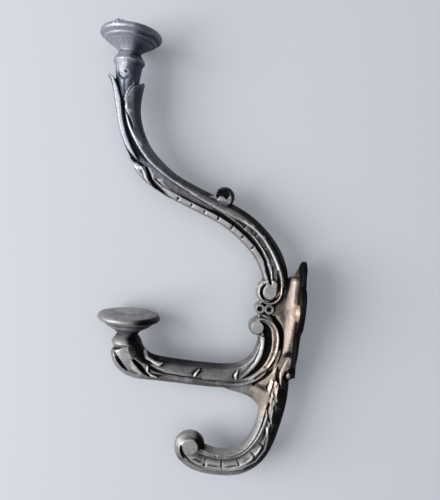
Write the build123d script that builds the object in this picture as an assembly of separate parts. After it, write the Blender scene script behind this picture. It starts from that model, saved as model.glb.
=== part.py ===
from build123d import *
import os
from math import atan2, cos, sin

# Coat hook for a hall stand: one iron casting with two knobs, a scrolled upper arm, a
# middle arm, a lower hook and a small wall plate. Millimetres. X runs across the hook,
# Y into the wall, Z up. The origin is on the back of the plate, midway between the two
# screws. The casting is symmetric about X = 0, the joint of its two-part mould.

# Wall plate
plate_thickness = 3.1
plate_half_width = 12.6
plate_bottom = -36.0
tip_height = 27.0
screw_spacing = 15.0
screw_hole_diameter = 4.8
countersink_diameter = 8.4
countersink_depth = 1.7
cove_radius = 5.4
cove_top = 17.0
cove_bottom = -29.0
web_half = 2.9

# Knobs: radius, place of the axis along Y, height of the rim
knob_radius_upper = 16.0
knob_radius_lower = 16.7
upper_knob_axis = -102.6
upper_knob_rim = 134.1
lower_knob_axis = -91.5
lower_knob_rim = -11.1
crown_rise = 1.7
neck_radius = 5.4
collar_radius = 8.2
neck_foot_radius = 4.2
upper_neck_length = 39.0
lower_neck_length = 22.0

# Scrolls: centre (y, z) and outer radius
arm_volute = (-18.2, 9.5)
arm_volute_radius = 7.2
c_volute = (-23.0, -9.6)
c_volute_radius = 4.7
end_volute = (-52.9, -78.4)
end_volute_radius = 8.2
end_boss = (-52.7, -77.2)
end_boss_radius = 4.5
small_scroll = (-46.9, 57.0)
small_scroll_radius = 5.3
bead_height = 0.2
bead_radius = 2.65

# Heights above X = 0 of the floors of what is cut into the sides
outside = 9.0
channel_floor = 1.5
groove_floor = 2.9
tick_floor = 3.4


def in_plane(y, z, x=0.0):
    return Vector(x, y, z)


def slab(face, x_low, x_high):
    """A face drawn on X = 0, as a solid from x_low to x_high."""
    return Solid.extrude(face.moved(Location((x_low, 0, 0))), Vector(x_high - x_low, 0, 0))


def both_sides(shape):
    """A feature of the +X side, and its mirror image."""
    return [shape, shape.mirror(Plane.YZ)]


def arcs(points):
    """Arcs end to end, each through three points and sharing its ends with the next."""
    edges = []
    for start, middle, end in zip(points[0::2], points[1::2], points[2::2]):
        edges.append(Edge.make_three_point_arc(in_plane(*start), in_plane(*middle), in_plane(*end)))
    return edges


def headings(points):
    """The direction of travel at each point of a path, from its neighbours."""
    last = len(points) - 1
    result = []
    for i in range(last + 1):
        before = points[max(i - 1, 0)]
        after = points[min(i + 1, last)]
        result.append(atan2(after[1] - before[1], after[0] - before[0]))
    return result


def ribbon(path):
    """A face along a path of (y, z, width), pointed where the width is 0."""
    places = [(y, z) for y, z, width in path]
    left, right = [], []
    for (y, z, width), heading in zip(path, headings(places)):
        step_y = -sin(heading) * width / 2
        step_z = cos(heading) * width / 2
        left.append((y + step_y, z + step_z))
        right.append((y - step_y, z - step_z))
    edges = arcs(left) + arcs(right)
    if path[-1][2] > 0:
        edges.append(Edge.make_line(in_plane(*left[-1]), in_plane(*right[-1])))
    if path[0][2] > 0:
        edges.append(Edge.make_line(in_plane(*right[0]), in_plane(*left[0])))
    return Face(Wire(edges))


def grooves(paths, floor):
    """Grooves along paths of (y, z, width), down to a floor, in both sides."""
    cuts = []
    for path in paths:
        cuts += both_sides(slab(ribbon(path), floor, outside))
    return cuts


def ticks(places, length, floor):
    """Short V-shaped nicks across a band, at a row of places along it, in both sides."""
    slope = 0.45
    half_width = (outside - floor) * slope
    cuts = []
    for (y, z), heading in zip(places, headings(places)):
        along = Vector(0, cos(heading), sin(heading))
        across = Vector(0, -sin(heading), cos(heading))
        start = in_plane(y, z) - across * (length / 2)
        nick = Wire.make_polygon([
            start + Vector(floor, 0, 0),
            start + Vector(outside, 0, 0) + along * half_width,
            start + Vector(outside, 0, 0) - along * half_width,
        ], close=True)
        cuts += both_sides(Solid.extrude(Face(nick), across * length))
    return cuts


def section(y, z, heading, width, half, profile):
    """A section across an arm. The profile is (place across, height), both 0 to 1."""
    side = []
    for across, height in profile:
        offset = (across - 0.5) * width
        side.append((y - sin(heading) * offset, z + cos(heading) * offset, height * half))
    near = [in_plane(a, b, x) for a, b, x in side]
    far = [in_plane(a, b, -x) for a, b, x in reversed(side)]
    return Face(Wire.make_polygon(near + far, close=True))


def arm(stations):
    """A smooth arm through stations of (y, z, width, half thickness, profile)."""
    turns = headings([(y, z) for y, z, width, half, profile in stations])
    faces = []
    for (y, z, width, half, profile), heading in zip(stations, turns):
        faces.append(section(y, z, heading, width, half, profile))
    return loft(faces)


def disc(centre, radius, half, edge_half, bevel):
    """A round boss through the casting, bevelled towards its rim on both sides."""
    outline = Polyline(
        (-half, 0), (-half, radius - bevel), (-edge_half, radius),
        (edge_half, radius), (half, radius - bevel), (half, 0), close=True,
    )
    turned = revolve(make_face(outline), axis=Axis.X, revolution_arc=360)
    return turned.moved(Location((0, centre[0], centre[1])))


def round_bar(centre, radius, x_low, x_high):
    """A plain round bar along X."""
    circle = Face(Wire.make_circle(radius, Plane(origin=(x_low, *centre), z_dir=(1, 0, 0))))
    return Solid.extrude(circle, Vector(x_high - x_low, 0, 0))


def mix(first, second, share):
    """A profile between two others, share of the way from the first to the second."""
    return [
        (a + (c - a) * share, b + (d - b) * share)
        for (a, b), (c, d) in zip(first, second)
    ]


def upper_profile(band, ridge, second_ridge):
    """Front band, groove, one or two ridges with a sunk band between, and a rear slope."""
    gap = second_ridge - ridge
    sunk = 1.0 - min(0.17, 1.4 * gap)
    return [
        (0.0, 0.42),
        (0.06, 0.86),
        (band, 0.92),
        (band + 0.03, 0.68),
        (ridge - 0.06, 0.66),
        (ridge, 1.0),
        (ridge + 0.25 * gap, sunk),
        (second_ridge - 0.25 * gap, sunk),
        (second_ridge, 1.0),
        (second_ridge + 0.55 * (1 - second_ridge), 0.78),
        (1.0, 0.26),
    ]


def hook_profile(lip, ridge, crest):
    """From the inside of the lower hook to its outside: lip, bead, sunk band, crest, slope."""
    return [
        (0.0, 0.42),
        (lip, 0.94),
        (lip + 0.04, 0.76),
        (ridge - 0.05, 0.76),
        (ridge, 0.98),
        (ridge + 0.05, 0.86),
        (crest - 0.06, 0.86),
        (crest, 1.0),
        (crest + 0.07, 0.86),
        (1.0, 0.27),
    ]


# Middle arm, from its underside (0) to its top (1), and from the outside of the bend to its inside
middle_root = [
    (0, 0.30), (0.14, 0.76), (0.19, 0.84), (0.27, 0.92),
    (0.36, 0.98), (0.62, 1.0), (0.86, 0.80), (1, 0.30),
]
middle_bar = [
    (0, 0.28), (0.25, 0.80), (0.30, 0.64), (0.35, 0.66),
    (0.41, 0.97), (0.62, 1.0), (0.85, 0.76), (1, 0.26),
]
middle_bend = [
    (0, 0.60), (0.05, 1.0), (0.12, 1.0), (0.15, 0.86),
    (0.42, 0.84), (0.76, 0.84), (0.91, 0.80), (1, 0.36),
]


def upper_arm():
    """The S-shaped arm, from the leaves round the knob's neck down to its volute at the plate."""
    rows = [
        (-102.6, 114.0, 20.0, 8.3, 0.27, 0.42, 0.46),
        (-102.0, 110.6, 16.8, 7.7, 0.27, 0.42, 0.46),
        (-101.7, 106.0, 14.8, 7.2, 0.27, 0.42, 0.46),
        (-101.0, 98.5, 12.6, 6.5, 0.27, 0.43, 0.47),
        (-99.3, 90.0, 11.9, 6.0, 0.26, 0.45, 0.49),
        (-96.6, 82.8, 11.8, 5.8, 0.26, 0.50, 0.54),
        (-93.0, 76.0, 12.3, 5.8, 0.27, 0.57, 0.61),
        (-88.6, 69.9, 13.8, 5.9, 0.27, 0.62, 0.66),
        (-82.8, 64.9, 13.6, 5.7, 0.27, 0.65, 0.69),
        (-76.0, 60.7, 12.6, 5.5, 0.27, 0.66, 0.70),
        (-66.0, 56.3, 12.0, 5.3, 0.27, 0.60, 0.64),
        (-55.3, 52.2, 11.9, 5.2, 0.26, 0.52, 0.56),
        (-48.1, 49.4, 12.2, 5.2, 0.26, 0.48, 0.54),
        (-41.2, 46.2, 13.0, 5.2, 0.26, 0.45, 0.55),
        (-34.6, 42.2, 13.7, 5.2, 0.25, 0.44, 0.63),
        (-28.6, 37.4, 13.9, 5.2, 0.25, 0.43, 0.67),
        (-23.3, 31.9, 13.9, 5.2, 0.24, 0.41, 0.66),
        (-19.0, 25.6, 13.9, 5.2, 0.23, 0.39, 0.66),
        (-16.2, 18.6, 13.7, 5.2, 0.19, 0.32, 0.67),
        (-15.0, 12.0, 13.5, 5.0, 0.15, 0.28, 0.68),
    ]
    stations = []
    for y, z, width, half, band, ridge, second in rows:
        stations.append((y, z, width, half, upper_profile(band, ridge, second)))
    front_ticks = [
        (-71.1, 53.1), (-63.9, 50.5), (-56.7, 47.9), (-49.2, 45.4),
        (-41.7, 41.5), (-35.7, 37.1), (-30.0, 31.9),
    ]
    side_ticks = [(-35.0, 42.3), (-29.0, 39.1), (-23.6, 32.7), (-19.5, 24.5), (-16.7, 16.5)]
    leaf_ends = [
        [(-100.6, 78.0, 0), (-97.4, 73.2, 1.7), (-92.2, 70.2, 0)],
        [(-88.2, 68.6, 0), (-86.4, 62.6, 1.7), (-82.6, 58.2, 2.3), (-79.2, 55.8, 1.7), (-74.6, 53.0, 0)],
    ]
    cuts = [leaf_notch()] + grooves(leaf_ends, 3.3)
    cuts += ticks(front_ticks, 2.6, tick_floor) + ticks(side_ticks, 2.4, tick_floor)
    return arm(stations) - cuts


def leaf_notch():
    """The gap between the front and the rear leaf, through which the knob's neck shows."""
    front_edge = arcs([(-108.3, 111.0), (-105.6, 104.9), (-103.2, 97.0)])
    rear_edge = arcs([(-101.7, 98.0), (-100.4, 105.0), (-95.5, 110.3)])
    corners = [
        (-95.5, 110.3), (-92.0, 111.9), (-92.0, 116.0),
        (-114.0, 116.0), (-113.4, 114.6), (-108.3, 111.0),
    ]
    rest = [Edge.make_line(in_plane(*a), in_plane(*b)) for a, b in zip(corners, corners[1:])]
    foot = Edge.make_line(in_plane(-103.2, 97.0), in_plane(-101.7, 98.0))
    return slab(Face(Wire(front_edge + rear_edge + rest + [foot])), -outside, outside)


def middle_arm():
    """The middle arm, from the lower knob along and round into the C-scroll."""
    bar = arm([
        (-91.7, -26.0, 16.0, 7.8, middle_root),
        (-89.8, -31.2, 17.4, 7.7, middle_root),
        (-85.6, -34.8, 16.6, 7.2, mix(middle_root, middle_bar, 0.3)),
        (-79.4, -36.7, 14.2, 6.4, mix(middle_root, middle_bar, 0.7)),
        (-70.5, -37.5, 12.9, 5.8, mix(middle_root, middle_bar, 0.95)),
        (-59.0, -38.1, 12.8, 5.5, middle_bar),
        (-47.0, -38.4, 12.8, 5.4, middle_bar),
        (-37.5, -38.2, 12.6, 5.3, mix(middle_bar, middle_bend, 0.2)),
        (-30.6, -37.1, 12.3, 5.2, mix(middle_bar, middle_bend, 0.55)),
        (-25.4, -34.7, 12.1, 5.1, mix(middle_bar, middle_bend, 0.9)),
        (-21.1, -31.0, 12.0, 5.0, middle_bend),
        (-18.0, -26.0, 11.9, 5.0, middle_bend),
        (-16.3, -20.3, 11.8, 5.0, middle_bend),
        (-16.2, -14.5, 11.6, 5.0, middle_bend),
    ])
    elbow_leaves = [
        [(-100.2, -26.0, 0), (-96.2, -30.4, 1.9), (-93.2, -33.8, 2.1), (-90.8, -36.6, 1.7), (-86.6, -40.6, 0)],
        [(-87.6, -30.8, 0), (-84.3, -33.6, 1.6), (-81.9, -36.0, 1.9), (-79.4, -38.8, 1.6), (-75.8, -42.2, 0)],
    ]
    top_leaf = [
        (-83.2, -25.0, 1.0), (-82.2, -28.6, 1.2), (-80.0, -31.3, 1.2), (-77.0, -33.3, 1.0), (-74.2, -34.2, 0),
    ]
    band_ticks = [(-13.0, -15.4), (-13.0, -23.5), (-16.7, -30.9)]
    cuts = grooves(elbow_leaves, 5.2) + grooves([top_leaf], 4.6) + ticks(band_ticks, 2.6, tick_floor)
    return bar - cuts


def c_scroll_curl():
    """The top of the C-scroll, which curls over from the bend to its boss."""
    curl = [(0, 0.55), (0.14, 1.0), (0.34, 1.0), (0.44, 0.86), (0.94, 0.84), (1, 0.60)]
    return arm([
        (-12.7, -19.0, 5.0, 5.0, curl),
        (-12.8, -14.0, 4.9, 5.0, curl),
        (-14.5, -9.8, 4.6, 5.0, curl),
        (-17.6, -6.9, 4.2, 5.0, curl),
        (-21.2, -6.0, 3.8, 4.9, curl),
        (-24.6, -7.6, 3.2, 4.7, curl),
    ])


def lower_hook():
    """The lower hook, from the foot of the plate down and round to its volute."""
    rows = [
        (-8.3, -38.0, 11.6, 4.6, 0.21, 0.36, 0.48),
        (-9.2, -45.5, 13.2, 5.0, 0.20, 0.35, 0.48),
        (-10.4, -55.0, 13.5, 5.1, 0.18, 0.32, 0.49),
        (-11.9, -64.0, 12.8, 5.1, 0.15, 0.28, 0.51),
        (-14.9, -73.3, 13.5, 5.2, 0.12, 0.23, 0.54),
        (-19.8, -80.6, 14.3, 5.2, 0.10, 0.20, 0.56),
        (-27.0, -85.2, 14.0, 5.2, 0.07, 0.17, 0.58),
        (-36.5, -86.5, 13.3, 5.2, 0.06, 0.16, 0.59),
        (-44.5, -85.4, 14.0, 5.2, 0.06, 0.16, 0.59),
        (-50.6, -83.4, 13.6, 5.0, 0.06, 0.16, 0.59),
        (-55.2, -80.9, 11.4, 4.6, 0.06, 0.16, 0.59),
        (-57.4, -78.2, 8.4, 3.8, 0.06, 0.16, 0.59),
    ]
    stations = []
    for y, z, width, half, lip, ridge, crest in rows:
        stations.append((y, z, width, half, hook_profile(lip, ridge, crest)))
    bowl_ticks = [(-43.8, -84.9), (-34.9, -85.2), (-26.1, -83.4), (-18.3, -79.0), (-14.4, -73.1)]
    return arm(stations) - ticks(bowl_ticks, 4.4, tick_floor)


def throat():
    """The rounded fillet under the middle arm, where the lower hook branches off."""
    rounded = [(0, 0.30), (0.2, 0.80), (0.5, 1.0), (0.8, 0.9), (1, 0.5)]
    return arm([
        (-42.0, -40.6, 6.0, 2.4, rounded),
        (-36.0, -41.4, 7.4, 3.4, rounded),
        (-30.0, -42.1, 8.7, 4.3, rounded),
        (-24.4, -42.9, 9.4, 4.6, rounded),
        (-18.6, -45.4, 10.2, 4.6, rounded),
        (-14.2, -50.0, 10.0, 4.6, rounded),
        (-12.4, -56.5, 9.6, 4.6, rounded),
    ])


def knob(axis_y, rim_z, radius, neck_length):
    """A round knob with its neck and collar, down to neck_length below the rim."""
    side = [
        (radius * 0.34, 1.9 + 0.9 * crown_rise),
        (radius * 0.70, 1.9 + 0.5 * crown_rise),
        (radius - 1.1, 1.9),
        (radius, 0.0),
        (radius - 0.7, -1.3),
        (radius - 3.0, -2.2),
        (radius - 5.2, -4.3),
        (neck_radius + 1.6, -6.8),
        (neck_radius, -8.8),
        (collar_radius - 0.8, -11.5),
        (collar_radius, -13.2),
        (collar_radius - 1.3, -15.2),
        (neck_foot_radius, -neck_length),
    ]
    crown_height = side[0][1]
    profile = make_face(Polyline((0, crown_height), *side, (0, -neck_length), close=True))
    turned = revolve(Plane.XZ * profile, axis=Axis.Z, revolution_arc=360)
    return turned.moved(Location((0, axis_y, rim_z)))


def wall_plate():
    """The plate with its top tongue. Outline points are (x, z) on the +X side."""
    right = [
        (8.4, 14.2), (10.8, 10.8), (12.2, 8.0), (plate_half_width, 3.6), (12.2, -1.6),
        (11.0, -6.2), (8.6, -11.4), (6.9, -14.0), (6.4, -17.5), (6.2, -21.4), (5.0, -26.0),
        (3.4, -29.4), (2.6, plate_bottom),
    ]
    right_edge = [Vector(x, 0, z) for x, z in right]
    left_edge = [Vector(-x, 0, z) for x, z in reversed(right)]
    edges = [
        Edge.make_line(right_edge[-1], left_edge[0]),
        Edge.make_line(left_edge[-1], right_edge[0]),
    ]
    for outline in (right_edge, left_edge):
        for start, middle, end in zip(outline[0::2], outline[1::2], outline[2::2]):
            edges.append(Edge.make_three_point_arc(start, middle, end))
    plate = Solid.extrude(Face(Wire(edges)), Vector(0, -plate_thickness, 0))
    return plate + plate_tongue()


def plate_tongue():
    """The pointed tongue above the plate, thick in the middle."""
    # Height, half width, thickness at the edge, thickness in the middle
    rows = [
        (12.5, 8.6, 3.1, 8.6),
        (17.0, 8.2, 3.0, 7.9),
        (21.0, 7.0, 2.7, 5.2),
        (24.6, 4.8, 2.3, 3.6),
        (tip_height, 1.6, 1.6, 2.2),
    ]
    faces = []
    for z, half, edge, middle in rows:
        shoulder = edge + 0.22 * (middle - edge)
        points = [(half, 0), (half, -edge), (half * 0.45, -shoulder), (0.0, -middle)]
        points += [(-x, y) for x, y in reversed(points[:-1])]
        faces.append(Face(Wire.make_polygon([Vector(x, y, z) for x, y in points], close=True)))
    return loft(faces)


def web():
    """The web that joins the scrolls and the lower hook to the plate."""
    corners = [
        (-12.0, -57.0), (-9.0, -54.0), (-4.5, -40.0), (-1.0, plate_bottom + 2.0), (-1.0, 16.0),
        (-7.4, 18.4), (-12.0, 14.0), (-22.6, 7.0), (-23.6, 0.0), (-22.6, -12.0), (-19.0, -22.0),
        (-24.0, -34.0), (-27.0, -43.0), (-19.0, -46.0),
    ]
    outline = Wire.make_polygon([in_plane(y, z) for y, z in corners], close=True)
    return slab(Face(outline), -web_half, web_half)


def coves():
    """The hollow curve from each side of the web down to the face of the plate."""
    sink = 0.6
    depth = plate_thickness + cove_radius
    reach = web_half + cove_radius
    length = cove_top - cove_bottom
    corners = [
        (web_half - sink, sink - plate_thickness), (web_half - sink, -depth), (web_half, -depth),
        (reach, -plate_thickness), (reach, sink - plate_thickness),
    ]
    outline = Wire.make_polygon([Vector(x, y, cove_bottom) for x, y in corners], close=True)
    block = Solid.extrude(Face(outline), Vector(0, 0, length))
    axis = Plane(origin=(reach, -depth, cove_bottom - 1), z_dir=(0, 0, 1))
    hollow = Solid.extrude(Face(Wire.make_circle(cove_radius, axis)), Vector(0, 0, length + 2))
    cove = block - hollow
    return cove + cove.mirror(Plane.YZ)


def screw_hole(x):
    """A countersunk hole through the plate and its cove."""
    depth = plate_thickness + cove_radius + 3
    face = Polyline(
        (0, 1),
        (screw_hole_diameter / 2, 1),
        (screw_hole_diameter / 2, countersink_depth - plate_thickness),
        (countersink_diameter / 2, -plate_thickness),
        (countersink_diameter / 2, -depth),
        (0, -depth),
        close=True,
    )
    turned = revolve(make_face(face), axis=Axis.Y, revolution_arc=360)
    return turned.moved(Location((x, 0, 0)))


def arm_scroll():
    """The volute that ends the upper arm."""
    return disc(arm_volute, arm_volute_radius, 5.0, 2.2, 0.9)


def c_scroll_boss():
    """The boss inside the C-scroll, and the sunk floor between it and the bend."""
    boss = disc(c_volute, c_volute_radius, 5.1, 1.8, 1.3)
    corners = [(-21.4, -21.0), (-21.7, -14.0), (-23.0, -9.6), (-19.0, -6.4), (-14.0, -8.4), (-12.4, -21.0)]
    floor = Wire.make_polygon([in_plane(y, z) for y, z in corners], close=True)
    return boss + slab(Face(floor), -channel_floor, channel_floor)


def end_scroll():
    """The volute that ends the lower hook, with its flat boss."""
    round_end = disc(end_volute, end_volute_radius, 4.5, 1.8, 2.7)
    return round_end + round_bar(end_boss, end_boss_radius, -5.0, 5.0)


def curl_on_arm():
    """The small scroll that stands on top of the upper arm, hollowed on both sides."""
    round_end = disc(small_scroll, small_scroll_radius, 3.9, 1.5, 0.9)
    y, z = small_scroll
    hollow = [(y - 3.8, z - 2.4, 1.2), (y - 2.2, z + 2.0, 3.0), (y + 1.6, z - 0.4, 3.8)]
    return round_end - grooves([hollow], 1.7)


def beads():
    """Two plain round beads between the arm's volute and the C-scroll."""
    pair = []
    for y in (-22.7, -17.7):
        bead = round_bar((y, bead_height), bead_radius, -4.0, 4.0)
        dimples = both_sides(round_bar((y, bead_height), bead_radius - 1.4, 3.3, outside))
        pair.append(bead - dimples)
    return pair[0] + pair[1]


def foot_curl():
    """The curled leaf at the foot of the plate, with its eye."""
    leaf = arcs([
        (-7.0, -40.4), (-8.8, -34.6), (-7.0, -27.4), (-5.2, -24.2), (-3.0, -23.2), (-1.2, -25.6),
        (-1.2, -29.2), (-4.8, -31.2), (-7.0, -40.4),
    ])
    eye = round_bar((-3.2, -34.4), 1.9, -4.6, 4.6)
    return slab(Face(Wire(leaf)), -5.2, 5.2) + eye


def c_channel():
    """The deep channel between the C-scroll's band and its inner side, as cut on +X."""
    outer = [
        (-30.3, -38.7), (-22.6, -35.1), (-16.4, -27.3), (-14.6, -21.0), (-15.0, -13.6),
        (-16.8, -8.9), (-22.2, -6.4),
    ]
    inner = [
        (-22.2, -6.4), (-20.0, -8.0), (-19.2, -11.4), (-18.1, -18.0), (-19.2, -26.0),
        (-23.4, -33.0), (-30.3, -38.7),
    ]
    return slab(Face(Wire(arcs(outer) + arcs(inner))), channel_floor, outside)


def scroll_grooves():
    """The grooves that run on from the arms round the volutes."""
    volute = [
        (-15.2, 21.4, 1.0), (-14.0, 15.5, 1.5), (-13.6, 10.4, 1.6), (-14.8, 6.6, 1.6), (-17.8, 4.6, 1.5),
        (-21.0, 5.6, 1.5), (-22.8, 8.6, 1.4), (-22.4, 11.8, 1.2), (-20.4, 13.9, 0.6),
    ]
    beside_band = [(-22.8, 25.8, 0.8), (-20.6, 19.8, 1.5), (-18.2, 13.6, 0.7)]
    end = [
        (-43.7, -88.6, 0.7), (-48.6, -87.4, 1.4), (-53.4, -84.4, 2.0),
        (-56.6, -80.4, 1.6), (-57.3, -76.6, 0.5),
    ]
    return grooves([volute, beside_band, end], groove_floor)


def web_grooves():
    """The groove behind the C-scroll and the leaf tips along the back of the lower hook."""
    behind_scroll = [
        (-17.5, -2.4, 0.8), (-11.6, -7.2, 1.5), (-9.0, -15.3, 1.5), (-9.4, -24.4, 1.5), (-12.9, -32.6, 1.5),
        (-17.0, -37.2, 1.4), (-22.4, -41.0, 0.7),
    ]
    leaf_tips = [
        [(-9.2, -39.0, 0), (-10.6, -44.0, 1.3), (-7.8, -50.2, 0)],
        [(-9.6, -49.2, 0), (-9.2, -54.4, 1.3), (-6.6, -59.4, 0)],
        [(-12.4, -47.6, 0), (-12.5, -55.0, 1.4), (-10.0, -62.6, 0)],
        [(-9.4, -60.4, 0), (-10.0, -65.4, 1.3), (-8.2, -70.6, 0)],
    ]
    return grooves([behind_scroll], channel_floor) + grooves(leaf_tips, 3.4)


def build_hook():
    body = upper_arm()
    pieces = [
        knob(upper_knob_axis, upper_knob_rim, knob_radius_upper, upper_neck_length),
        curl_on_arm(),
        arm_scroll(),
        web(),
        wall_plate(),
        coves(),
        middle_arm(),
        c_scroll_curl(),
        c_scroll_boss(),
        knob(lower_knob_axis, lower_knob_rim, knob_radius_lower, lower_neck_length),
        lower_hook(),
        throat(),
        end_scroll(),
        foot_curl(),
        beads(),
    ]
    for piece in pieces:
        body += piece
    cuts = both_sides(c_channel()) + scroll_grooves() + web_grooves()
    for side in (-1, 1):
        cuts.append(screw_hole(side * screw_spacing / 2))
    return body - cuts


os.makedirs("parts", exist_ok=True)
export_step(build_hook(), "parts/coat_hook.step")
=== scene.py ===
import math

import bmesh
import bpy
import numpy as np
from mathutils import Matrix, Vector


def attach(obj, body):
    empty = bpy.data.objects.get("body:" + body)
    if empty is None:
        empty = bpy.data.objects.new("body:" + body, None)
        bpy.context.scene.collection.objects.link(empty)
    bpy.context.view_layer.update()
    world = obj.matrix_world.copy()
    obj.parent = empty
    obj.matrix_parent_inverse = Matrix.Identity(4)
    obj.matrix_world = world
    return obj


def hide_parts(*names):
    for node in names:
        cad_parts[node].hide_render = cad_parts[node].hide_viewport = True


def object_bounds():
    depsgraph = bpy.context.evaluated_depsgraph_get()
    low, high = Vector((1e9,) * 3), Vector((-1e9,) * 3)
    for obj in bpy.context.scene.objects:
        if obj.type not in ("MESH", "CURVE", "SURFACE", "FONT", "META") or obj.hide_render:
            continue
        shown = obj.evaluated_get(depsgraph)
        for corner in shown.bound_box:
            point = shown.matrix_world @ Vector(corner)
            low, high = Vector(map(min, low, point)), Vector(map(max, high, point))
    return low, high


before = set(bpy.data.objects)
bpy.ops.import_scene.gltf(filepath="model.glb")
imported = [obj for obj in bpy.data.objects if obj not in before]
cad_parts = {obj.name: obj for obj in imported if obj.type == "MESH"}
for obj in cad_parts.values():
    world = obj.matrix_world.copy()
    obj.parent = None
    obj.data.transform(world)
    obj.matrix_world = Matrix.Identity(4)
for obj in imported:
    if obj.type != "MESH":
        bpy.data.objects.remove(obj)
casting_low, casting_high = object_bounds()

# The hook in the frame: +Y into the wall, +Z up, metres. The hook stands out towards -Y
# and lies on its -X side on a pale table, as it does in the photograph.

millimetre = 0.001

# How the photograph was taken: its size and its lens in pixels, the camera's height over the
# hook's middle plane and the (y, z) right below it in metres, the pixel that shows that place, and
# how far the hook leans in the picture
photo_width = 440
photo_height = 500
focal_length_in_pixels = 470.0
camera_height = 0.2491
camera_foot = (-0.0560, 0.0430)
camera_foot_in_photo = (205.0, 222.0)
hook_leans = math.radians(5.5)

# How finely the casting's skin is worked
weld_distance = 0.002 * millimetre
skin_grain = 0.36 * millimetre
most_triangles = 190000

# From here on, places and sizes on the casting are in millimetres.

# The screws, as (x, z), whose holes keep their crisp edges
screw_places = ((-7.5, 0.0), (7.5, 0.0))
countersink_radius = 4.2

# The rough lump that the foundry left on the rim of the upper knob: the centre and radius of its
# parts, how far it stands out, and the share of the radius up to which it does so in full
casting_lump = (
    ((13.2, -106.9, 135.2), 2.0),
    ((12.4, -105.0, 135.7), 1.5),
    ((13.4, -108.6, 134.6), 1.4),
)
lump_height = 1.1
lump_crown = 0.35

# The fine ring under the rim of the upper knob: how high it stands, how far beside its crest it
# starts to fall and has fallen, and the slope from which the knob counts as its underside
upper_knob_axis = -102.6
knob_ring_radius = 12.5
knob_ring_height = 0.5
knob_ring_fall = (0.2, 1.1)
underside_slope = -0.05

# The zones that sand casting leaves rounded. Each fades in or out over a pair of numbers, and those
# with four numbers fade in over the first pair and out over the second.
flare_towards_wall = (-11.5, -9.0)
flare_across = (1.8, 2.8, 8.6, 10.0)
flare_upright = (-33.0, -29.0, 19.0, 23.0)
flare_off_screws = 1.2
middle_arm_along = (-83.0, -80.5, -40.0, -32.0)
middle_arm_upright = (-47.0, -44.0, -26.5, -24.0)
upper_knob_foot = (122.0, 124.5)
lower_knob_foot = (-21.0, -19.0)
lower_knob_top = 20.0
lower_knob_side = (-76.0, -74.0)

# How many rounds of smoothing the zones get, and then the whole skin
flare_rounds = 46
middle_arm_rounds = 26
knob_rounds = 14
flat_edge_rounds = 24
skin_rounds = 3

# How the colours read the shape, for the painted shade in hollows and on what faces away from the
# light
# and the pale of the ridges: the rounds of smoothing that a ridge and a slope are measured against,
# how much less deep a shallow hollow counts, and how much facing up counts as facing away, which fades
# in above the lower hook
fine_rounds = 4
broad_rounds = 26
slope_rounds = 3
shallow_relief = 0.65
upward_share = 0.35
above_lower_hook = (-46.0, -42.0)

# Painted shade, black, fades in over the plate's rim. The walls of its screw holes get a painted
# highlight instead, and so does a margin round them.
plate_rim = (-4.2, -3.4)
screw_hole_depth = (-6.0, -0.3)
screw_hole_margin = 0.3
screw_hole_highlight = 0.7

# How near to a path, from 0 at its edge to 1 on it, it starts to count in full
full_nearness = 0.7

# Where the solid's edges are flat and sharp and the casting's are not, as paths of (y, z, width)
flat_edges = (
    ((-96.3, 110.5, 5.0), (-95.3, 105.5, 6.0), (-94.3, 96.5, 6.0), (-90.3, 86.5, 5.0)),
    ((-19.0, 10.4, 8.0), (-18.6, 10.0, 8.0)),
    ((-18.4, -42.0, 8.0), (-15.5, -44.1, 9.0), (-14.9, -49.5, 6.0)),
)

# Where a hollow is shallow and so stays grey, without the painted shade of the deeper hollows
shallow_lines = (
    (
        (-87.4, 69.2, 6.0), (-74.6, 59.2, 7.0), (-61.8, 55.0, 7.0), (-52.2, 51.6, 6.0),
        (-46.0, 49.4, 3.0),
    ),
)

# The fine carving on both sides starts at the first of these distances from the middle plane and
# has its full depth from the second.
carving_starts = (1.2, 2.2)

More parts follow.
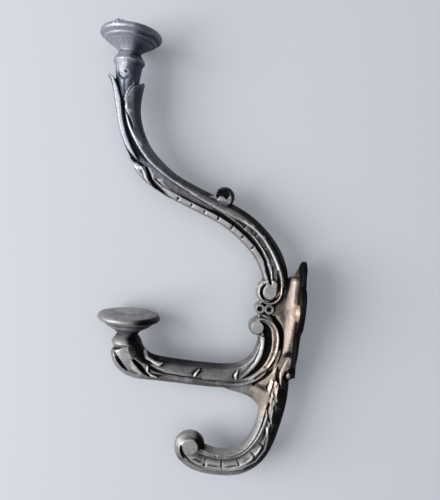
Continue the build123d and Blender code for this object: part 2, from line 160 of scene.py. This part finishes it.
# What is pressed in: how deep, and its path of (y, z, width)
pressed_lines = (
    # Black crescents beside the leaves of the upper arm
    (1.0, ((-101.2, 79.0, 0.2), (-97.6, 74.3, 1.6), (-94.6, 71.2, 1.8), (-90.9, 69.4, 0.4))),
    (1.5, ((-88.8, 68.3, 0.6), (-86.2, 62.9, 2.6), (-81.9, 58.4, 2.8), (-75.0, 53.6, 0.4))),
    # Where the rear leaf ends
    (0.8, ((-102.2, 96.2, 0.6), (-100.6, 94.2, 1.3), (-98.9, 91.4, 1.4), (-97.0, 87.4, 0.4))),
    # Flame on the side of the arm
    (0.3, ((-73.4, 61.6, 0.3), (-70.2, 58.8, 1.2), (-65.2, 57.4, 1.1), (-58.6, 55.0, 0.3))),
    # Fold down the neck, the hollow of its eye and the arc under it
    (0.4, ((-103.3, 110.9, 0.5), (-102.6, 105.3, 1.2), (-103.0, 102.0, 0.6))),
    (0.7, ((-102.8, 114.8, 2.0), (-102.6, 114.6, 2.0))),
    (0.5, ((-107.1, 115.6, 0.7), (-106.2, 112.6, 1.2), (-103.6, 111.0, 1.2), (-100.8, 112.4, 0.6))),
    # Beside the C-scroll, inside and behind
    (0.5, ((-22.3, -14.4, 0.6), (-20.4, -19.6, 1.1), (-22.7, -27.9, 1.2), (-29.8, -36.7, 0.5))),
    (1.2, (
        (-14.4, -3.2, 1.0), (-10.6, -10.0, 2.2), (-9.2, -17.1, 2.4), (-10.4, -24.4, 2.2),
        (-14.2, -31.1, 2.2), (-21.6, -37.2, 1.0),
    )),
    # Round the curl at the foot of the plate
    (0.9, ((-9.8, -30.0, 0.5), (-9.9, -36.0, 1.3), (-7.4, -41.0, 0.6))),
    (1.6, ((-5.6, -31.6, 0.6), (-5.9, -34.6, 1.4), (-4.6, -37.6, 1.4), (-2.6, -38.6, 0.6))),
    # Beside the leaves on the elbow
    (0.9, ((-86.1, -32.3, 0.5), (-83.2, -34.8, 1.8), (-80.3, -38.2, 2.4), (-77.4, -40.8, 1.2))),
    (0.9, (
        (-76.9, -35.2, 1.4), (-74.0, -37.0, 2.4), (-69.6, -38.5, 1.8), (-60.0, -39.4, 1.4),
        (-50.0, -39.6, 1.0),
    )),
    (0.5, ((-80.3, -25.0, 1.4), (-78.4, -28.9, 2.6), (-73.5, -30.9, 2.4))),
)

# What stands proud: how high, and its path
raised_lines = (
    # Lips of the two leaves at the bend of the upper arm
    (0.5, ((-103.2, 77.4, 0.6), (-99.0, 72.6, 1.4), (-95.4, 69.4, 1.4), (-92.4, 68.6, 0.6))),
    (0.7, (
        (-91.2, 68.9, 0.8), (-89.9, 66.6, 1.8), (-88.4, 62.6, 1.8), (-85.4, 58.6, 1.4),
        (-81.6, 56.0, 0.6),
    )),
    # Husk tips along the middle arm
    (0.8, ((-51.5, -34.5, 0.8), (-53.1, -36.6, 2.6), (-53.9, -38.2, 2.0))),
    (0.9, ((-31.1, -33.3, 0.8), (-32.2, -36.4, 3.2), (-31.8, -38.3, 1.6))),
    # Lips of the leaves on the elbow
    (0.8, ((-78.6, -35.1, 1.4), (-78.6, -37.7, 2.4), (-76.9, -39.9, 2.4), (-73.5, -41.0, 1.2))),
    (0.9, (
        (-81.6, -25.0, 1.4), (-81.3, -28.0, 2.2), (-79.3, -30.7, 2.4), (-75.9, -32.5, 2.4),
        (-73.0, -33.6, 3.0), (-71.2, -33.0, 1.0),
    )),
    # Outer edge of the strip down the lower hook
    (0.4, (
        (-12.6, -63.2, 1.6), (-11.7, -68.8, 2.0), (-12.4, -75.8, 2.0), (-16.7, -82.5, 1.8),
        (-23.9, -86.8, 1.6), (-30.9, -88.2, 1.0),
    )),
    # Eye on the neck
    (0.35, ((-102.9, 114.9, 4.2), (-102.5, 114.5, 4.2))),
)

# Zones of colour on both sides, as paths of (y, z, width)
rusty_zones = (
    (
        (-7.0, 24.0, 18.0), (-7.0, 0.0, 26.0), (-9.0, -25.0, 24.0), (-16.0, -42.0, 22.0),
        (-15.0, -54.0, 10.0),
    ),
)
# Painted sheen: pale where light gleams on the web and plate, round the lower hook and on the upper
# knob
painted_sheen_zones = (
    ((-6.6, 20.0, 4.0), (-7.2, 6.0, 5.5), (-6.4, -6.0, 6.0), (-6.8, -22.0, 4.0)),
    (
        (-12.0, -34.0, 6.0), (-16.0, -44.0, 20.0), (-16.5, -56.0, 13.0), (-19.0, -67.0, 9.0),
        (-24.0, -75.5, 6.0), (-33.0, -80.0, 5.0), (-44.0, -79.6, 4.0),
    ),
    ((-108.0, 136.0, 34.0), (-106.0, 127.0, 20.0), (-105.6, 117.0, 9.0)),
    (
        (-55.0, -83.0, 4.0), (-44.0, -86.0, 8.0), (-33.0, -87.0, 8.0), (-24.0, -84.0, 7.0),
        (-17.0, -76.0, 5.0),
    ),
)

# Edges that are rubbed bare and also carry a painted highlight, and places painted black as shade, as
# they look in the photograph: how high they stand above the hook's middle plane, and a path of
# (y, z, width) that is read off against it
bare_and_highlit_edges = (
    # Lip of the leaf behind the neck
    (3, (
        (-98.9, 110.2, 0.4), (-101.2, 107.4, 0.9), (-102.4, 104.6, 1.0), (-102.8, 102.0, 1.0),
        (-102.0, 98.5, 0.9), (-99.9, 95.0, 0.5),
    )),
    # Lips of the leaves along the upper arm
    (6, (
        (-102.0, 94.5, 1.1), (-100.8, 90.0, 1.2), (-98.0, 85.0, 1.1), (-93.5, 80.0, 0.9),
        (-89.0, 75.5, 0.4),
    )),
    (6, (
        (-99.0, 72.0, 1.0), (-97.0, 69.5, 1.6), (-94.0, 68.0, 1.8), (-91.0, 68.3, 2.2),
        (-90.0, 66.5, 1.8), (-88.5, 62.5, 1.6), (-86.0, 59.8, 0.8),
    )),
    (6, ((-83.0, 63.0, 0.8), (-80.0, 60.5, 1.6), (-76.0, 57.6, 1.3), (-70.0, 55.0, 0.8))),
    # Ridge down the arm, edge of the strip beside it, and rim of the upper volute
    (7, (
        (-37.0, 46.0, 0.6), (-30.0, 42.5, 1.1), (-24.0, 37.5, 1.2),
        (-19.0, 30.5, 1.2), (-15.0, 23.5, 1.2), (-12.0, 16.5, 1.2), (-11.0, 12.0, 1.4),
        (-11.4, 9.0, 1.4), (-13.5, 6.0, 1.0),
    )),
    (7, (
        (-33.0, 41.5, 0.6), (-28.5, 37.0, 1.0), (-24.0, 31.5, 1.0),
        (-20.5, 25.5, 1.0), (-18.0, 19.5, 1.0), (-16.3, 13.5, 0.8),
    )),
    (7, (
        (-19.0, 14.6, 0.8), (-22.0, 13.6, 1.0), (-24.0, 10.5, 1.2), (-23.6, 7.0, 1.2),
        (-21.0, 4.0, 1.0), (-17.5, 3.0, 0.8),
    )),
    # Small scroll's tail
    (4, ((-54.5, 56.8, 1.6), (-52.0, 56.6, 2.6), (-50.4, 55.2, 1.2))),
    # Both edges of the C-scroll
    (7, (
        (-20.0, -4.5, 1.2), (-15.0, -7.0, 1.2), (-11.5, -11.5, 1.3), (-10.2, -17.0, 1.4),
        (-10.5, -23.0, 1.5), (-12.2, -29.0, 1.7), (-15.0, -33.5, 1.5), (-19.0, -37.0, 1.2),
        (-24.0, -40.5, 0.8),
    )),
    (7, (
        (-19.2, -14.5, 1.2), (-18.6, -20.0, 1.9), (-19.2, -26.0, 2.0), (-21.4, -31.0, 1.7),
        (-24.4, -35.2, 1.0),
    )),
    # Beside the husks behind the middle arm, and their edges
    (6, ((-8.6, -24.0, 2.2), (-10.0, -31.0, 1.8), (-11.2, -38.0, 1.6), (-12.6, -45.0, 2.0))),
    (6, ((-7.4, -35.0, 1.4), (-7.0, -38.5, 1.3), (-6.3, -41.6, 0.6))),
    (6, ((-9.4, -41.5, 1.0), (-8.8, -46.0, 1.6), (-7.8, -51.0, 0.7))),
    # Husks down the lower hook, and the outer edge of its strip
    (5, ((-9.2, -40.2, 0.8), (-10.6, -46.8, 1.3), (-7.9, -51.4, 0.6))),
    (5, ((-10.7, -50.6, 0.8), (-11.3, -57.1, 1.2), (-9.0, -64.6, 0.6))),
    (5, (
        (-11.7, -65.4, 1.0), (-10.8, -71.1, 1.4), (-11.5, -78.2, 1.4), (-15.9, -85.1, 1.3),
        (-23.2, -89.5, 1.1), (-30.4, -90.9, 0.8),
    )),
    # Husk tips along the middle arm
    (8, ((-51.4, -37.1, 0.6), (-53.0, -39.2, 1.4), (-53.8, -40.8, 1.2))),
    (8, ((-30.3, -35.8, 0.6), (-31.4, -39.0, 2.0), (-31.0, -41.0, 1.0))),
    # Lips of the leaves on the elbow
    (7, (
        (-82.3, -27.0, 0.9), (-82.0, -30.0, 1.3), (-80.0, -32.8, 1.5), (-76.5, -34.7, 1.6),
        (-73.4, -35.8, 2.6), (-71.6, -35.2, 0.8),
    )),
    (7, ((-79.2, -37.4, 0.9), (-79.3, -40.0, 1.4), (-77.5, -42.3, 1.4), (-74.0, -43.2, 0.8))),
    (7, ((-88.4, -34.6, 0.8), (-87.8, -36.6, 2.4), (-86.0, -39.5, 3.6), (-83.2, -41.6, 2.4))),
)
# Painted shade: places painted black where they lie in shadow
painted_shade_zones = (
    # Rear of the upper arm
    (2, (
        (-41.4, 53.0, 7.0), (-30.4, 47.8, 11.0), (-22.0, 41.0, 12.5), (-15.0, 32.5, 13.0),
        (-10.0, 23.6, 12.0), (-8.8, 17.0, 6.0), (-8.8, 11.0, 3.2), (-9.6, 6.5, 2.4),
    )),
    # Back and eye of the small scroll
    (2, (
        (-51.0, 60.6, 2.4), (-48.4, 62.2, 3.4), (-44.2, 60.8, 4.2), (-42.2, 57.0, 4.2),
        (-42.6, 53.6, 3.0),
    )),
    (2, ((-49.2, 58.8, 4.6), (-47.4, 58.4, 4.6))),
    # Notch in the plate's edge, over the curl at its foot
    (16, ((-0.9, -14.5, 3.4), (-1.2, -20.0, 4.0), (-0.2, -24.0, 2.0))),
    # Behind the husks, down to the outside of the hook
    (3, (
        (-3.6, -38.5, 5.0), (-4.4, -48.0, 8.4), (-6.0, -58.0, 9.0), (-7.6, -69.0, 7.4),
        (-13.2, -80.6, 5.6), (-21.4, -89.2, 3.6),
    )),
    # Over the second lip on the elbow, and between the elbow's leaves
    (7, (
        (-77.5, -37.5, 1.2), (-74.5, -39.3, 1.9), (-70.0, -40.8, 1.2), (-60.0, -41.8, 1.0),
        (-50.0, -42.2, 0.8),
    )),
    (7, ((-87.0, -34.5, 0.7), (-84.0, -37.0, 1.8), (-81.0, -40.5, 2.4), (-78.0, -43.2, 1.2))),
    (7, ((-81.0, -26.5, 1.0), (-79.6, -30.4, 2.0), (-76.0, -32.6, 1.8), (-70.0, -32.6, 1.6))),
)

# Colours of the iron. Where there are two, the first is the dark side of its mottling.
plain_iron = ((0.115, 0.108, 0.112, 1), (0.190, 0.180, 0.187, 1))
blue_iron = ((0.076, 0.090, 0.128, 1), (0.130, 0.148, 0.204, 1))
brown_iron = ((0.085, 0.060, 0.046, 1), (0.230, 0.178, 0.146, 1))
# Pale of ridges with wear, which is also a painted highlight, and of the painted sheen
wear_and_sheen_plain = (0.43, 0.42, 0.41, 1)
wear_and_sheen_blue = (0.42, 0.43, 0.48, 1)
wear_and_sheen_brown = (0.56, 0.44, 0.36, 1)
# Bright of the edges rubbed bare, which is also a painted highlight, and the painted highlight in the
# screw holes
bare_and_highlit_plain = (0.80, 0.79, 0.79, 1)
bare_and_highlit_brown = (0.90, 0.74, 0.60, 1)
# Black of the painted shade
painted_shade_black = (0.003, 0.003, 0.004, 1)
speck_black = (0.020, 0.019, 0.019, 1)

# Colour of the table, and how far it reaches and lies below the hook, in metres
table_grey = (0.585, 0.605, 0.640, 1)
table_reach = 2.0
table_gap = 0.5 * millimetre

# The light of the room
room_white = (0.80, 0.84, 0.90, 1)
room_strength = 0.38


def place_camera():
    """Looks down on the hook's +X side from close by, a little off square, as the photograph does."""
    across = Vector((0, math.cos(hook_leans), math.sin(hook_leans)))
    upwards = Vector((0, -math.sin(hook_leans), math.cos(hook_leans)))
    towards_viewer = Vector((1, 0, 0))
    table_axes = Matrix((across, upwards, towards_viewer)).transposed()
    to_foot = Vector((
        (camera_foot_in_photo[0] - photo_width / 2) / focal_length_in_pixels,
        (photo_height / 2 - camera_foot_in_photo[1]) / focal_length_in_pixels,
        -1,
    ))
    tilt = to_foot.rotation_difference(Vector((0, 0, -1))).to_matrix()
    camera = bpy.data.cameras.new("camera")
    camera.sensor_width = 36.0
    camera.lens = camera.sensor_width * focal_length_in_pixels / max(photo_width, photo_height)
    camera.clip_start = 0.01
    camera.clip_end = 20
    holder = bpy.data.objects.new("camera", camera)
    place = Vector((camera_height, *camera_foot))
    holder.matrix_world = Matrix.Translation(place) @ (table_axes @ tilt).to_4x4()
    bpy.context.scene.collection.objects.link(holder)
    bpy.context.scene.camera = holder


class Field:
    """A number that varies over the surface. Arithmetic on it adds Math nodes."""

    def __init__(self, finish, socket):
        self.finish = finish
        self.socket = socket

    def worked(self, operation, first, second):
        return self.finish.add("ShaderNodeMath", {"operation": operation}, {0: first, 1: second})

    def __add__(self, other):
        return self.worked("ADD", self, other)

    def __radd__(self, other):
        return self.worked("ADD", other, self)

    def __sub__(self, other):
        return self.worked("SUBTRACT", self, other)

    def __rsub__(self, other):
        return self.worked("SUBTRACT", other, self)

    def __mul__(self, other):
        return self.worked("MULTIPLY", self, other)

    def __rmul__(self, other):
        return self.worked("MULTIPLY", other, self)

    def largest(self, other):
        return self.worked("MAXIMUM", self, other)

    def ramp(self, low, high):
        """0 at low and 1 at high, eased between them."""
        sockets = {"Value": self, "From Min": low, "From Max": high}
        return self.finish.add("ShaderNodeMapRange", {"interpolation_type": "SMOOTHSTEP"}, sockets)


class Finish:
    """A surface finish, made of nodes."""

    def __init__(self, name):
        self.material = bpy.data.materials.new(name)
        self.material.use_nodes = True
        self.tree = self.material.node_tree
        self.tree.nodes.clear()

    def add(self, kind, settings, sockets, output=0):
        """Adds a node: its settings first, then the value or link of each socket."""
        node = self.tree.nodes.new(kind)
        for name, value in settings.items():
            setattr(node, name, value)
        for name, value in sockets.items():
            if isinstance(value, Field):
                self.tree.links.new(value.socket, node.inputs[name])
            else:
                node.inputs[name].default_value = value
        return Field(self, node.outputs[output]) if node.outputs else None

    def blend(self, share, first, second):
        """A colour between two others."""
        sockets = {0: share, 6: first, 7: second}
        return self.add("ShaderNodeMix", {"data_type": "RGBA"}, sockets, output=2)

    def measure(self, name):
        """A number stored on the mesh."""
        return self.add("ShaderNodeAttribute", {"attribute_name": name}, {}, output="Fac")

    def noise(self, place, scale, detail):
        sockets = {"Vector": place, "Scale": scale, "Detail": detail, "Roughness": 0.6}
        return self.add("ShaderNodeTexNoise", {}, sockets)

    def close(self, surface):
        self.add("ShaderNodeOutputMaterial", {}, {"Surface": surface})
        return self.material


def eased(values, low, high):
    """0 at low and 1 at high, eased between them."""
    share = np.clip((values - low) / (high - low), 0, 1)
    return share * share * (3 - 2 * share)


def within(values, zone):
    """1 where a zone is full, eased to 0 at its start and its end."""
    start, full_from, full_up_to, end = zone
    return eased(values, start, full_from) * (1 - eased(values, full_up_to, end))


def smoothed(points, links, rounds):
    """Points drawn towards the mean of their neighbours, a number of times."""
    starts, ends, count = links
    for _ in range(rounds):
        total = np.empty_like(points)
        for axis in range(3):
            total[:, axis] = np.bincount(starts, points[ends, axis], minlength=len(points))
            total[:, axis] += np.bincount(ends, points[starts, axis], minlength=len(points))
        points = 0.5 * points + 0.5 * total / count[:, None]
    return points


def vertex_array(mesh):
    flat = np.empty(len(mesh.vertices) * 3, np.float32)
    mesh.vertices.foreach_get("co", flat)
    return flat.reshape(-1, 3).astype(float)


def normal_array(mesh):
    flat = np.empty(len(mesh.vertices) * 3, np.float32)
    mesh.vertex_normals.foreach_get("vector", flat)
    return flat.reshape(-1, 3).astype(float)


def store_measure(mesh, name, values):
    attribute = mesh.attributes.new(name, "FLOAT", "POINT")
    attribute.data.foreach_set("value", values.astype(np.float32))


def neighbour_links(mesh):
    """The two points of every edge, and how many neighbours each point has."""
    flat = np.empty(len(mesh.edges) * 2, np.int32)
    mesh.edges.foreach_get("vertices", flat)
    starts, ends = flat.reshape(-1, 2).T
    count = np.bincount(starts, minlength=len(mesh.vertices))
    count = count + np.bincount(ends, minlength=len(mesh.vertices))
    return starts, ends, np.maximum(count, 1)


def near_line(points, path):
    """1 along a path of (y, z, width), falling to 0 at half the width from it."""
    place = points[:, 1:]
    nearness = np.zeros(len(points))
    for (start_y, start_z, start_width), (end_y, end_z, end_width) in zip(path, path[1:]):
        start = np.array((start_y, start_z))
        step = np.array((end_y, end_z)) - start
        along = np.clip((place - start) @ step / (step @ step), 0, 1)
        gap = np.linalg.norm(place - start - along[:, None] * step, axis=1)
        half_width = (start_width + (end_width - start_width) * along) / 2
        nearness = np.maximum(nearness, 1 - gap / half_width)
    return eased(nearness, 0, full_nearness)


def near_any_line(points, paths):
    """1 along any of the paths, falling to 0 beside them."""
    return np.max([near_line(points, path) for path in paths], axis=0)


def lifted(height, path):
    """A path as the photograph shows it against the hook's middle plane, carried along the lines of
    sight to its real height."""
    nearer = height * millimetre / camera_height
    foot_y, foot_z = (value / millimetre for value in camera_foot)
    return [(y + nearer * (foot_y - y), z + nearer * (foot_z - z), width) for y, z, width in path]


def carve(points):
    """Works the fine lines of the pattern into both sides."""
    sideways = np.sign(points[:, 0]) * eased(np.abs(points[:, 0]), *carving_starts)
    moved = np.zeros(len(points))
    for depth, path in pressed_lines:
        moved = moved - depth * near_line(points, path)
    for height, path in raised_lines:
        moved = moved + height * near_line(points, path)
    points[:, 0] += sideways * moved


def clear_of_screws(points, margin):
    """0 in the screw holes, easing to 1 over a margin round them."""
    share = np.ones(len(points))
    for place in screw_places:
        reach = np.hypot(points[:, 0] - place[0], points[:, 2] - place[1])
        share *= eased(reach, countersink_radius, countersink_radius + margin)
    return share


def screw_hole_share(points):
    """The walls of the screw holes, without the plate's back."""
    outer_end, inner_end = screw_hole_depth
    in_plate = (points[:, 1] > outer_end) & (points[:, 1] < inner_end)
    return (1 - clear_of_screws(points, screw_hole_margin)) * in_plate


def flare_share(points):
    """Where the web runs out into the plate, clear of the screw holes."""
    share = eased(points[:, 1], *flare_towards_wall) * within(np.abs(points[:, 0]), flare_across)
    share *= within(points[:, 2], flare_upright)
    return share * clear_of_screws(points, flare_off_screws)


def middle_arm_share(points):
    """The middle arm from the web to its elbow."""
    return within(points[:, 1], middle_arm_along) * within(points[:, 2], middle_arm_upright)


def knob_share(points):
    """The two turned knobs."""
    upper = eased(points[:, 2], *upper_knob_foot)
    lower = (1 - eased(points[:, 1], *lower_knob_side)) * eased(points[:, 2], *lower_knob_foot)
    return np.maximum(upper, lower * (points[:, 2] < lower_knob_top))


def soften(points, share, links, rounds):
    """Rounds off the places where share is above 0."""
    return points + share[:, None] * (smoothed(points, links, rounds) - points)


def add_knob_ring(points, normals):
    """The fine ring on the underside of the upper knob."""
    gap = np.abs(np.hypot(points[:, 0], points[:, 1] - upper_knob_axis) - knob_ring_radius)
    on_underside = (points[:, 2] > upper_knob_foot[0]) & (normals[:, 2] < underside_slope)
    share = (1 - eased(gap, *knob_ring_fall)) * on_underside
    points += knob_ring_height * share[:, None] * normals


def add_lump(points, normals):
    """The foundry's lump on the rim of the upper knob."""
    for centre, radius in casting_lump:
        reach = np.linalg.norm(points - np.array(centre), axis=1)
        points += (lump_height * (1 - eased(reach, lump_crown * radius, radius)))[:, None] * normals


def measure_surface(mesh):
    """Stores how far each point stands proud of the form round it, how far it faces away from the
    room, for painted shade, and the zones of colour, among them painted shade, painted sheen and
    painted highlights."""
    links = neighbour_links(mesh)
    normals = normal_array(mesh)
    points = vertex_array(mesh) / millimetre
    in_screw_holes = screw_hole_share(points)
    fine = smoothed(points, links, fine_rounds)
    broad = smoothed(fine, links, broad_rounds)
    shallow = near_any_line(points, shallow_lines)
    for name, softened in (("ridge_fine", fine), ("ridge_broad", broad)):
        proud = np.einsum("ij,ij->i", points - softened, normals)
        proud = np.maximum(proud, proud * (1 - shallow_relief * shallow))
        store_measure(mesh, name, proud * (1 - in_screw_holes))
    slope = smoothed(normals, links, slope_rounds)
    over_hook = eased(points[:, 2], *above_lower_hook) * (1 - knob_share(points))
    # How far each point faces away from the light, read as painted shade in the colours
    store_measure(mesh, "faces_away", slope[:, 1] + upward_share * over_hook * slope[:, 2])
    zones = {
        "rusty": near_any_line(points, rusty_zones),
        "painted_sheen": near_any_line(points, painted_sheen_zones),
        "bare_and_highlight": near_any_line(points, [lifted(*edge) for edge in bare_and_highlit_edges]),
        "black": near_any_line(points, [lifted(*zone) for zone in painted_shade_zones]),
    }
    # Painted shade on the plate's rim, and a painted highlight in the screw holes
    on_plate_rim = eased(points[:, 1], *plate_rim)
    zones["black"] = np.maximum(zones["black"], on_plate_rim) * (1 - in_screw_holes)
    zones["bare_and_highlight"] = np.maximum(zones["bare_and_highlight"], screw_hole_highlight * in_screw_holes)
    for name, share in zones.items():
        store_measure(mesh, name, share)


def apply_modifiers(piece):
    """Turns the piece's modifiers into its mesh."""
    dressed = piece.evaluated_get(bpy.context.evaluated_depsgraph_get())
    made = bpy.data.meshes.new_from_object(dressed)
    piece.modifiers.clear()
    piece.data = made


def shape_casting():
    """The cast skin: the hook's solid, carved, with its edges softened as sand casting leaves them."""
    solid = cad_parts["coat_hook"]
    skin = bpy.data.objects.new("cast_hook", solid.data.copy())
    bpy.context.scene.collection.objects.link(skin)
    skin.data.materials.clear()
    welded = bmesh.new()
    welded.from_mesh(skin.data)
    bmesh.ops.remove_doubles(welded, verts=welded.verts, dist=weld_distance)
    welded.to_mesh(skin.data)
    welded.free()
    remesh = skin.modifiers.new("skin", "REMESH")
    remesh.mode = "VOXEL"
    remesh.voxel_size = skin_grain
    apply_modifiers(skin)
    links = neighbour_links(skin.data)
    points = vertex_array(skin.data) / millimetre
    points = soften(points, flare_share(points), links, flare_rounds)
    points = soften(points, middle_arm_share(points), links, middle_arm_rounds)
    points = soften(points, knob_share(points), links, knob_rounds)
    points = soften(points, near_any_line(points, flat_edges), links, flat_edge_rounds)
    normals = normal_array(skin.data)
    add_knob_ring(points, normals)
    add_lump(points, normals)
    carve(points)
    points = smoothed(points, links, skin_rounds)
    skin.data.vertices.foreach_set("co", (points * millimetre).astype(np.float32).ravel())
    skin.data.update()
    triangles = sum(len(face.vertices) - 2 for face in skin.data.polygons)
    thin = skin.modifiers.new("thin", "DECIMATE")
    thin.ratio = min(1.0, most_triangles / triangles)
    apply_modifiers(skin)
    in_casting = np.clip(vertex_array(skin.data), casting_low, casting_high)
    skin.data.vertices.foreach_set("co", in_casting.astype(np.float32).ravel())
    skin.data.update()
    measure_surface(skin.data)
    for face in skin.data.polygons:
        face.use_smooth = True
    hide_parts("coat_hook")
    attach(skin, "root")
    return skin


def old_cast_iron():
    """Dark unpainted iron. Painted shade makes it black in the hollows, on what faces the wall and in
    listed places. The ridges are pale with wear and a painted highlight, some zones carry a painted
    sheen and some edges a painted bright highlight. It is blue-grey above and brown with old rust
    round the plate."""
    finish = Finish("old_cast_iron")
    place = finish.add("ShaderNodeTexCoord", {}, {}, output="Object")
    height = finish.add("ShaderNodeSeparateXYZ", {}, {"Vector": place}, output="Z")
    ridge = finish.measure("ridge_broad") + 0.6 * finish.measure("ridge_fine")
    mottle = finish.noise(place, scale=140.0, detail=5.0)
    patches = finish.noise(place, scale=60.0, detail=3.0)
    grain = finish.noise(place, scale=1500.0, detail=4.0)
    # Pale on the ridges: wear, and also a painted highlight
    worn_and_highlit = (ridge + 0.16 * (mottle - 0.5)).ramp(0.06, 0.30)
    # Painted shade: black in the hollows, where shade falls
    hollow = ridge.ramp(-0.05, -0.28)
    cool = height.ramp(0.040, 0.085)
    # Painted shade on what faces away from the light, weaker higher up
    shade_facing_away = finish.measure("faces_away").ramp(0.10, 0.46) * (1.0 - 0.40 * cool)
    # All the painted shade together: hollows, what faces away, and the listed black places
    black = hollow.largest(shade_facing_away).largest(finish.measure("black")) * 0.98
    # Bright on edges rubbed bare, which is also a painted highlight, and a painted highlight in the
    # screw holes
    bare_and_highlight = finish.measure("bare_and_highlight")
    rusty = (finish.measure("rusty") + 0.8 * (patches - 0.5)).ramp(0.05, 0.75)
    # Painted sheen on the web and plate, round the lower hook and on the upper knob
    painted_sheen = (finish.measure("painted_sheen") + 0.5 * (patches - 0.5)).ramp(0.10, 0.80)
    shade = mottle.ramp(0.35, 0.65)
    plain = finish.blend(shade, *plain_iron)
    blue = finish.blend(shade, *blue_iron)
    brown = finish.blend(shade, *brown_iron)
    iron = finish.blend(cool, plain, blue)
    iron = finish.blend(rusty * 0.75, iron, brown)
    pale = finish.blend(cool, wear_and_sheen_plain, wear_and_sheen_blue)
    pale = finish.blend(rusty * 0.80, pale, wear_and_sheen_brown)
    pale_share = (worn_and_highlit * 0.70).largest(painted_sheen * (0.60 + 0.50 * mottle))
    iron = finish.blend(pale_share, iron, pale)
    bright = finish.blend(rusty, bare_and_highlit_plain, bare_and_highlit_brown)
    iron = finish.blend(bare_and_highlight * (0.60 + 0.40 * mottle), iron, bright)
    black = black * (1.0 - 0.85 * bare_and_highlight)
    iron = finish.blend(black, iron, painted_shade_black)
    specks = finish.noise(place, scale=800.0, detail=3.0).ramp(0.46, 0.66)
    iron = finish.blend(specks * 0.30, iron, speck_black)
    bump = finish.add("ShaderNodeBump", {}, {
        "Strength": 0.6,
        "Distance": 0.25 * millimetre,
        "Height": grain * 0.6 + mottle,
    })
    surface = finish.add("ShaderNodeBsdfPrincipled", {}, {
        "Base Color": iron,
        "Metallic": 0.70 + 0.28 * black,
        "Roughness": 0.50 - 0.12 * worn_and_highlit + 0.12 * grain,
        "Normal": bump,
    })
    return finish.close(surface)


def table_finish():
    """Pale and plain. From behind, the table is clear, and it lets the light through, so that the
    hook shows from every side."""
    finish = Finish("pale_table")
    behind = finish.add("ShaderNodeNewGeometry", {}, {}, output="Backfacing")
    shadow_ray = finish.add("ShaderNodeLightPath", {}, {}, output="Is Shadow Ray")
    pale = finish.add("ShaderNodeBsdfDiffuse", {}, {"Color": table_grey, "Roughness": 0.5})
    clear = finish.add("ShaderNodeBsdfTransparent", {}, {})
    either = finish.add("ShaderNodeMixShader", {}, {0: behind.largest(shadow_ray), 1: pale, 2: clear})
    return finish.close(either)


def add_table():
    mesh = bpy.data.meshes.new("table")
    level = casting_low.x - table_gap
    sides = ((-1, -1), (1, -1), (1, 1), (-1, 1))
    corners = [(level, y * table_reach, z * table_reach) for y, z in sides]
    mesh.from_pydata(corners, [], [(0, 1, 2, 3)])
    table = bpy.data.objects.new("table", mesh)
    table.data.materials.append(table_finish())
    bpy.context.scene.collection.objects.link(table)


def add_lamp(name, place, size, power):
    """A round lamp that points at the middle of the hook."""
    lamp = bpy.data.lights.new(name, "AREA")
    lamp.shape = "DISK"
    lamp.size = size
    lamp.energy = power
    holder = bpy.data.objects.new(name, lamp)
    holder.location = place
    holder.rotation_mode = "QUATERNION"
    middle = (casting_low + casting_high) / 2
    holder.rotation_quaternion = (middle - place).to_track_quat("-Z", "Y")
    bpy.context.scene.collection.objects.link(holder)


def set_stage():
    """The table under the hook, a window at its left, and a pale room."""
    add_table()
    add_lamp("window", place=Vector((0.42, -0.62, -0.02)), size=0.60, power=6.0)
    add_lamp("room", place=Vector((0.95, -0.10, 0.10)), size=1.20, power=3.0)
    world = bpy.data.worlds.new("pale_room")
    bpy.context.scene.world = world
    world.use_nodes = True
    background = world.node_tree.nodes["Background"]
    background.inputs["Color"].default_value = room_white
    background.inputs["Strength"].default_value = room_strength
    bpy.context.scene.view_settings.view_transform = "Standard"


place_camera()
set_stage()
cast_hook = shape_casting()
cast_hook.data.materials.clear()
cast_hook.data.materials.append(old_cast_iron())
